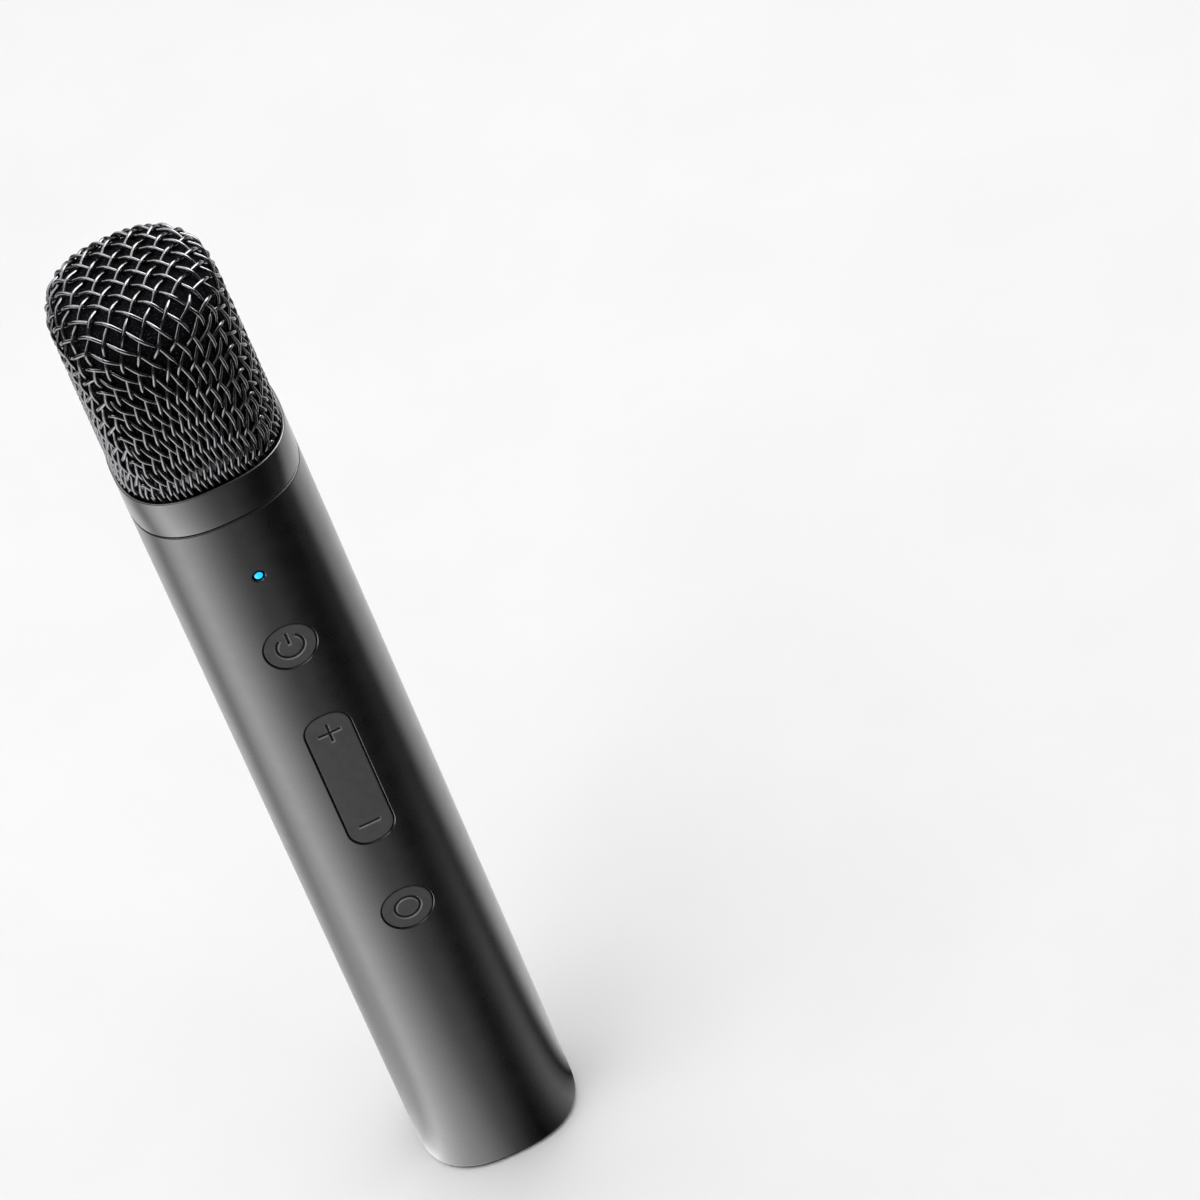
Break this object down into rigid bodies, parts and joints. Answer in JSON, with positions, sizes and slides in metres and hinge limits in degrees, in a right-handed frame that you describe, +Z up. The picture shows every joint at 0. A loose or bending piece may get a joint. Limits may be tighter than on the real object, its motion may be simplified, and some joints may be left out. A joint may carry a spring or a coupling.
{
  "type": "karaoke microphone",
  "caption": "Slim cordless hand-held karaoke microphone with a rounded-square tube body, woven wire grille, press buttons, a volume rocker and a status light.",
  "frame": {"origin": "middle of the flat base, on the surface that the microphone stands on", "axes": "+Z up the body from the base to the grille; -Y out of the front face that carries the buttons; +X to the right when looking at the front"},
  "size_m": [0.034, 0.034, 0.235],
  "materials": {
    "anodised_body": "bead-blasted aluminium, anodised satin black, with soft long reflections and a very fine grain",
    "grille_wire": "woven round wire, plated black nickel, bright on its crowns",
    "foam": "open-cell black foam, matte",
    "key_rubber": "soft-touch dark grey, matte, with engraved marks",
    "inner_plastic": "moulded black plastic with a fine spark-eroded texture",
    "soft_rubber": "matte black rubber",
    "circuit_board": "green solder mask over woven glass",
    "plated_metal": "nickel-plated steel",
    "magnet": "sintered magnet, dull grey plating",
    "copper": "enamelled copper",
    "clear_film": "thin polyester film",
    "cell_wrap": "shrink sleeve over a lithium cell",
    "red_insulation": "smooth red insulation",
    "black_insulation": "smooth black insulation",
    "flat_cable": "amber flexible circuit",
    "light_lens": "clear light pipe lit cyan blue"
  },
  "bodies": {
    "microphone": {"grille_mesh": "grille_wire", "grille_rim_band": "grille_wire", "foam_windscreen": "foam", "head_collar": "anodised_body", "neck_sleeve": "inner_plastic", "capsule_bracket": "inner_plastic", "capsule_shock_mount": "soft_rubber", "capsule_housing": "plated_metal", "capsule_magnet": "magnet", "capsule_voice_coil": "copper", "capsule_diaphragm": "clear_film", "capsule_cover": "plated_metal", "body_shell": "anodised_body", "bottom_cap": "inner_plastic", "chassis": "inner_plastic", "main_board": "circuit_board", "radio_module": "plated_metal", "antenna": "copper", "battery_connector": "inner_plastic", "capsule_connector": "inner_plastic", "power_switch_body": "inner_plastic", "mode_switch_body": "inner_plastic", "rocker_bracket": "inner_plastic", "rocker_pivot_pin": "plated_metal", "plus_switch_body": "inner_plastic", "minus_switch_body": "inner_plastic", "status_led": "light_lens", "led_light_pipe": "light_lens", "battery_cell": "cell_wrap", "battery_pad": "soft_rubber", "battery_lead_red": "red_insulation", "battery_lead_black": "black_insulation", "capsule_lead_red": "red_insulation", "capsule_lead_black": "black_insulation", "usb_port_shell": "plated_metal", "usb_tongue": "inner_plastic", "usb_board": "circuit_board", "usb_ribbon": "flat_cable", "board_screw_1": "plated_metal", "board_screw_2": "plated_metal", "board_screw_3": "plated_metal", "board_screw_4": "plated_metal", "cap_screw_1": "plated_metal", "cap_screw_2": "plated_metal"},
    "power_key": {"power_button_cap": "key_rubber", "power_switch_plunger": "inner_plastic"},
    "mode_key": {"mode_button_cap": "key_rubber", "mode_switch_plunger": "inner_plastic"},
    "rocker_key": {"volume_rocker": "key_rubber"},
    "plus_plunger": {"plus_switch_plunger": "inner_plastic"},
    "minus_plunger": {"minus_switch_plunger": "inner_plastic"}
  },
  "joints": [
    {"name": "power_press", "type": "slide", "parent": "microphone", "child": "power_key", "axis": [0, 1, 0], "range_m": [0, 0.0004], "stiffness_N_per_m": 1000},
    {"name": "mode_press", "type": "slide", "parent": "microphone", "child": "mode_key", "axis": [0, 1, 0], "range_m": [0, 0.0004], "stiffness_N_per_m": 1000},
    {"name": "volume_tilt", "type": "hinge", "parent": "microphone", "child": "rocker_key", "pos_m": [0, -0.0129, 0.1127], "axis": [-1, 0, 0], "range_deg": [-1.5, 1.5], "stiffness_Nm_per_rad": 0.3},
    {"name": "plus_plunger_slide", "type": "slide", "parent": "microphone", "child": "plus_plunger", "axis": [0, 1, 0], "range_m": [-0.00036, 0.00036]},
    {"name": "minus_plunger_slide", "type": "slide", "parent": "microphone", "child": "minus_plunger", "axis": [0, 1, 0], "range_m": [-0.00036, 0.00036]}
  ],
  "couplings": [
    {"joint": "plus_plunger_slide", "follows": "volume_tilt", "m_per_rad": 0.0132},
    {"joint": "minus_plunger_slide", "follows": "volume_tilt", "m_per_rad": -0.0132}
  ]
}
